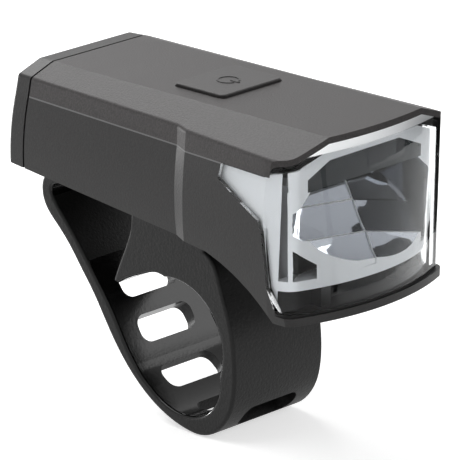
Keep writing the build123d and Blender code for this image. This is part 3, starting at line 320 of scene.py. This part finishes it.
def metallised(name, film_colour, painted_highlight_colour, painted_shade_colour, roughness):
    """Vacuum-metallised plastic: mirror film, with a white diffuse painted highlight and a dark grey painted
    shade, told apart by where a face lies and looks.
    """
    material, tree, shader, place = start_material(name)
    relief(tree, shader, noise(tree, place, wave_size, detail=1.0), wave_depth)
    surface = tree.nodes.new("ShaderNodeNewGeometry")
    facing = add_node(tree, "ShaderNodeSeparateXYZ", links={"Vector": surface.outputs["Normal"]}).outputs
    spot = add_node(tree, "ShaderNodeSeparateXYZ", links={"Vector": place}).outputs
    upright = calculate(tree, "COMPARE", facing["Z"], 0.0, upright_slack)
    ahead = calculate(tree, "LESS_THAN", facing["Y"], facing_ahead)
    flat = calculate(tree, "MULTIPLY", ahead, upright)
    forward = calculate(tree, "LESS_THAN", spot["Y"], frame_y)
    front = calculate(tree, "MULTIPLY", flat, forward)
    above = spread(tree, spot["Z"], 0.0, 1.0, frame_low, frame_full)
    plate = calculate(tree, "MULTIPLY", front, above)
    ledge = calculate(tree, "GREATER_THAN", facing["Z"], facing_up)
    left = calculate(tree, "LESS_THAN", facing["X"], facing_left)
    middle = calculate(tree, "COMPARE", spot["X"], 0.0, column_reach)
    step = calculate(tree, "MULTIPLY", left, middle)
    ridges = calculate(tree, "MAXIMUM", ledge, step)
    wide = calculate(tree, "GREATER_THAN", calculate(tree, "ABSOLUTE", spot["X"]), liner_x)
    lean = calculate(tree, "MULTIPLY", spot["X"], facing["X"])
    outward = calculate(tree, "GREATER_THAN", lean, outward_lean)
    beside = calculate(tree, "MAXIMUM", wide, outward)
    # White diffuse colour on the frame, facet ridges, liners and outward faces: painted highlight.
    painted_highlight_mask = calculate(tree, "MAXIMUM", plate, calculate(tree, "MAXIMUM", ridges, beside))
    # Dark grey colour on the inward upright walls beside the facets: painted shade.
    inward = calculate(tree, "LESS_THAN", lean, inward_lean)
    painted_shade_mask = calculate(tree, "MULTIPLY", inward, upright)
    coat = blend(tree, painted_highlight_mask, linear(film_colour), linear(painted_highlight_colour))
    tone = blend(tree, painted_shade_mask, coat, linear(painted_shade_colour))
    tree.links.new(tone, shader.inputs["Base Color"])
    tree.links.new(spread(tree, painted_highlight_mask, 1.0, painted_highlight_metallic), shader.inputs["Metallic"])
    tree.links.new(spread(tree, painted_highlight_mask, roughness, painted_highlight_roughness), shader.inputs["Roughness"])
    return material


# The white colour below is a painted highlight, the dark grey one a painted shade.
mirror_film = metallised("aluminium film on polycarbonate", film_colour="#bbbec4", painted_highlight_colour="#fafbfd",
                         painted_shade_colour="#4a4d53", roughness=0.04)
finish_node("reflector", mirror_film)

# Lamp shade: the dark strip above the mirror that hides the lamp.
# Smooth grey polycarbonate.
shade_pc = moulded("polycarbonate, moulded, grey", "#1e2225", grain=1.2, depth=0.003, roughness=0.2,
                   specular=0.22)
finish_node("led_shade", shade_pc)

# Cover: the textured top shell, flat in the middle with sloped shoulders and the visor in front.
# The same ABS as the housing; its base colour is lighter than the housing's, a painted highlight for its lit
# top.
cover_abs_painted_lit = moulded("ABS, spark-eroded texture, dark grey", "#333030", grain=0.5, depth=0.08, roughness=0.46,
                    specular=0.33, speckle=0.4)
finish_node("top_cover", cover_abs_painted_lit)

# Power button: a smooth plate that stands proud of the cover, with a raised symbol.
# Thermoplastic elastomer, a little smoother than the cover round it.
button_tpe = moulded("TPE, moulded, dark grey", "#333131", grain=0.5, depth=0.05, roughness=0.46,
                     specular=0.37, speckle=0.3)
finish_node("power_button", button_tpe)

# Printed symbol on the button: a broken ring and a bar, pad printed in black ink.
# It lies on the raised symbol of the button, 0.02 mm thick.
ring_inner, ring_outer = 2.5 * mm, 2.86 * mm
ring_steps = 48
ring_gap_half = 0.85 * mm
bar_width, bar_length = 0.4 * mm, 2.8 * mm
bar_y = -2.17 * mm
ink_thickness = 0.02 * mm
button_low, button_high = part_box("power_button")
symbol_y = (button_low[1] + button_high[1]) / 2
ink = bmesh.new()
for ring_radius in (ring_outer, ring_inner):
    bmesh.ops.create_circle(ink, cap_ends=False, radius=ring_radius, segments=ring_steps)
bmesh.ops.bridge_loops(ink, edges=ink.edges[:])
ring_centres = {face: face.calc_center_median() for face in ink.faces}
gap = [face for face, centre in ring_centres.items() if centre.y < 0 and abs(centre.x) < ring_gap_half]
bmesh.ops.delete(ink, geom=gap, context="FACES")
bar_place = Matrix.Translation((0, bar_y, 0)) @ Matrix.Diagonal((bar_width, bar_length, 1, 1))
bmesh.ops.create_grid(ink, x_segments=1, y_segments=1, size=0.5, matrix=bar_place)
for face in ink.faces:
    face.normal_update()
    if face.normal.z < 0:
        face.normal_flip()
bmesh.ops.transform(ink, matrix=Matrix.Translation((0, symbol_y, button_high[2] + ink_thickness / 2)),
                    verts=ink.verts)
ink_mesh = bpy.data.meshes.new("button_symbol")
ink.to_mesh(ink_mesh)
ink.free()
button_symbol = bpy.data.objects.new("button_symbol", ink_mesh)
bpy.context.collection.objects.link(button_symbol)
button_symbol.modifiers.new("ink", "SOLIDIFY").thickness = ink_thickness
ink_black = moulded("pad printing ink, black", "#242222", grain=0.4, depth=0.005, roughness=0.5)
ink_mesh.materials.append(ink_black)
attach(button_symbol, "power_button")

# Front lens: the clear window with its wings, welded round the lamp unit.
# Injection-moulded polycarbonate, polished, with a high index that gives bright edges. Its top wall, which
# meets the visor, is made metallic and satin, a painted highlight for the light that this wall refracts.
ripple_size = 20 * mm
ripple_depth = 0.02 * mm
rim_low, rim_full = 58.6 * mm, 58.9 * mm
rim_roughness = 0.4


def clear_plastic(name, tint, index, shine):
    """Polished clear plastic; shine is the share of its surface reflection that it keeps."""
    material, tree, shader, place = start_material(name)
    relief(tree, shader, noise(tree, place, ripple_size, detail=0.0), ripple_depth)
    spot = add_node(tree, "ShaderNodeSeparateXYZ", links={"Vector": place})
    # Metallic satin band along the top wall: painted highlight.
    rim = spread(tree, spot.outputs["Z"], 0.0, 1.0, rim_low, rim_full)
    tree.links.new(rim, shader.inputs["Metallic"])
    tree.links.new(spread(tree, rim, 0.0, rim_roughness), shader.inputs["Roughness"])
    shader.inputs["Base Color"].default_value = linear(tint)
    shader.inputs["Transmission Weight"].default_value = 1.0
    shader.inputs["IOR"].default_value = index
    shader.inputs["Specular Tint"].default_value = [shine, shine, shine, 1.0]
    return material


lens_pc = clear_plastic("polycarbonate, polished, clear", "#fafcfd", index=1.585, shine=0.2)
finish_node("front_lens", lens_pc)

# Mount plate under the case.
# Glass-filled nylon, plain black, screwed on from below.
plate_nylon = moulded("nylon, moulded, black", "#202020", grain=0.5, depth=0.02, roughness=0.5, specular=0.35)
finish_node("mount_plate", plate_nylon)

# Strap: saddle, ring, rear wall and hooked end in one moulding.
# Silicone rubber from a sandblasted mould: matte and nearly black outside, polished and glossy inside.
strap_roughness, inner_roughness = 0.5, 0.16
inner_relief = 0.15
inner_lean = -0.45
strap_silicone = moulded("silicone rubber, blasted mould, black", "#0d0d0d", grain=0.7, depth=0.12,
                         roughness=strap_roughness, specular=0.27, speckle=0.45)
strap_tree = strap_silicone.node_tree
strap_shader = strap_tree.nodes["Principled BSDF"]
strap_place = add_node(strap_tree, "ShaderNodeTexCoord").outputs["Object"]
strap_surface = strap_tree.nodes.new("ShaderNodeNewGeometry")
round_bar = add_node(strap_tree, "ShaderNodeVectorMath", {"operation": "MULTIPLY", 1: (0, 1, 1)},
                     {0: strap_place})
outwards = add_node(strap_tree, "ShaderNodeVectorMath", {"operation": "NORMALIZE"},
                    {0: round_bar.outputs["Vector"]})
strap_lean = add_node(strap_tree, "ShaderNodeVectorMath", {"operation": "DOT_PRODUCT"},
                      {0: outwards.outputs["Vector"], 1: strap_surface.outputs["Normal"]})
inside = calculate(strap_tree, "LESS_THAN", strap_lean.outputs["Value"], inner_lean)
strap_gloss = spread(strap_tree, inside, strap_roughness, inner_roughness)
strap_relief = spread(strap_tree, inside, 1.0, inner_relief)
strap_tree.links.new(strap_gloss, strap_shader.inputs["Roughness"])
strap_tree.links.new(strap_relief, strap_tree.nodes["Bump"].inputs["Strength"])
finish_node("strap", strap_silicone)

# Studio floor: a plain pale sheet under the strap.
# It shows white to the camera and keeps the lamp's shadow.
floor_reach = 3.0
floor_gap = 0.2 * mm
floor_roughness = 0.9
floor_glow = 0.6
white = (1, 1, 1, 1)


def in_sight(tree):
    """One for rays that the camera sees, also through the lens or in a reflection."""
    rays = add_node(tree, "ShaderNodeLightPath").outputs
    seen = calculate(tree, "MAXIMUM", rays["Is Camera Ray"], rays["Is Transmission Ray"])
    return calculate(tree, "MAXIMUM", seen, rays["Is Glossy Ray"])


floor_mesh = bpy.data.meshes.new("floor")
floor = bpy.data.objects.new("floor", floor_mesh)
floor_sheet = bmesh.new()
bmesh.ops.create_grid(floor_sheet, x_segments=1, y_segments=1, size=floor_reach,
                      matrix=Matrix.Translation((0, 0, cad_box[0][2] - floor_gap)))
floor_sheet.to_mesh(floor_mesh)
floor_sheet.free()
bpy.context.collection.objects.link(floor)
paper, paper_tree, paper_shader, _ = start_material("paper backdrop, white")
paper_shader.inputs["Base Color"].default_value = linear("#f4f4f4")
paper_shader.inputs["Roughness"].default_value = floor_roughness
paper_shader.inputs["Emission Color"].default_value = white
paper_tree.links.new(calculate(paper_tree, "MULTIPLY", in_sight(paper_tree), floor_glow),
                     paper_shader.inputs["Emission Strength"])
floor_mesh.materials.append(paper)

# Studio light: a bright even room, white where the camera looks.
# Four soft boxes: above on the left, high behind, a low strip behind, and to the right in front.
room_light = 0.3
world = bpy.data.worlds.new("studio")
bpy.context.scene.world = world
world.use_nodes = True
world_tree = world.node_tree
background = world_tree.nodes["Background"]
world_tree.links.new(spread(world_tree, in_sight(world_tree), room_light, 1.0), background.inputs["Strength"])
background.inputs["Color"].default_value = white


def soft_box(name, place, aim_height, width, height, power):
    """A rectangular area lamp that faces a point above the bar's centre; sizes in metres."""
    lamp = bpy.data.lights.new(name, "AREA")
    lamp.shape = "RECTANGLE"
    lamp.size = width
    lamp.size_y = height
    lamp.energy = power
    holder = bpy.data.objects.new(name, lamp)
    holder.location = place
    holder.rotation_euler = (Vector((0, 0, aim_height)) - Vector(place)).to_track_quat("-Z", "Y").to_euler()
    bpy.context.collection.objects.link(holder)


soft_box("top_box", place=(-0.25, 0.2, 0.75), aim_height=0.03, width=0.5, height=0.5, power=2.6)
soft_box("back_high_box", place=(0.3, 0.62, 0.66), aim_height=0.05, width=0.4, height=0.4, power=2.6)
soft_box("back_low_box", place=(-0.12, 0.9, 0.02), aim_height=0.02, width=0.4, height=0.07, power=3.2)
soft_box("right_box", place=(0.66, -0.52, 0.38), aim_height=0.0, width=0.4, height=0.4, power=1.5)

# Flags: curved cards in front of the lamp, as photographers stand them up to draw a mirror's facets.
# The camera sees them only in reflections and through the lens: grey for the left facets, black beside
# them, a low one that takes the glare off the lens, and a slim one that darkens the far chamber wall.
card_steps = 16


def flag_card(name, level, start, end, low, high, radius, through=True, glare=True):
    """A card on an arc round the lamp: angles in degrees from the beam towards +X, heights in metres."""
    mesh = bpy.data.meshes.new(name)
    card = bpy.data.objects.new(name, mesh)
    sheet = bmesh.new()
    turned = Matrix.Rotation(math.radians(start), 3, "Z") @ Vector((0, -radius, 0))
    foot = sheet.verts.new(turned + Vector((0, 0, low)))
    head = sheet.verts.new(turned + Vector((0, 0, high)))
    edge = sheet.edges.new((foot, head))
    bmesh.ops.spin(sheet, geom=[foot, head, edge], cent=(0, 0, 0), axis=(0, 0, 1),
                   angle=math.radians(end - start), steps=card_steps, use_merge=False)
    sheet.to_mesh(mesh)
    sheet.free()
    bpy.context.collection.objects.link(card)
    paint, _, paint_shader, _ = start_material("card, painted, " + name)
    paint_shader.inputs["Base Color"].default_value = (0, 0, 0, 1)
    paint_shader.inputs["Roughness"].default_value = 1.0
    paint_shader.inputs["Specular IOR Level"].default_value = 0.0
    paint_shader.inputs["Emission Color"].default_value = linear("#efeff1")
    paint_shader.inputs["Emission Strength"].default_value = level
    mesh.materials.append(paint)
    for ray in ("camera", "diffuse", "shadow", "volume_scatter"):
        setattr(card, "visible_" + ray, False)
    card.visible_transmission = through
    card.visible_glossy = glare


flag_card("grey_flag", level=0.75, start=20, end=35.5, low=0.036, high=0.15, radius=0.1)
flag_card("black_flag", level=0.06, start=35.5, end=52, low=0.036, high=0.15, radius=0.1)
flag_card("low_flag", level=0.05, start=6, end=105, low=0.0, high=0.036, radius=0.12, through=False)
flag_card("slim_flag", level=0.04, start=-14, end=6, low=-0.022, high=0.04, radius=0.12, glare=False)

# Camera: at the photograph's viewing angle, far off, so the lines stay nearly parallel.
# Its place is the aim point plus the distance along the viewing direction.
azimuth = math.radians(-46.301)
elevation = math.radians(18.241)
roll = math.radians(-0.266)
aim = Vector((-1.333, -5.425, 26.186)) * mm
distance = 1.2042
sensor_width = 36.0
focal_length = 391.3
back = Vector((math.sin(azimuth) * math.cos(elevation), -math.cos(azimuth) * math.cos(elevation),
               math.sin(elevation)))
right = back.cross(Vector((0, 0, 1))).normalized() * -1
up = back.cross(right)
rolled_right = right * math.cos(roll) + up * math.sin(roll)
rolled_up = up * math.cos(roll) - right * math.sin(roll)
camera_data = bpy.data.cameras.new("camera")
camera_data.sensor_width = sensor_width
camera_data.lens = focal_length
camera = bpy.data.objects.new("camera", camera_data)
turn_to = Matrix((rolled_right, rolled_up, back)).transposed()
camera.matrix_world = Matrix.Translation(aim + back * distance) @ turn_to.to_4x4()
bpy.context.collection.objects.link(camera)
bpy.context.scene.camera = camera
bpy.context.scene.view_settings.view_transform = "Standard"
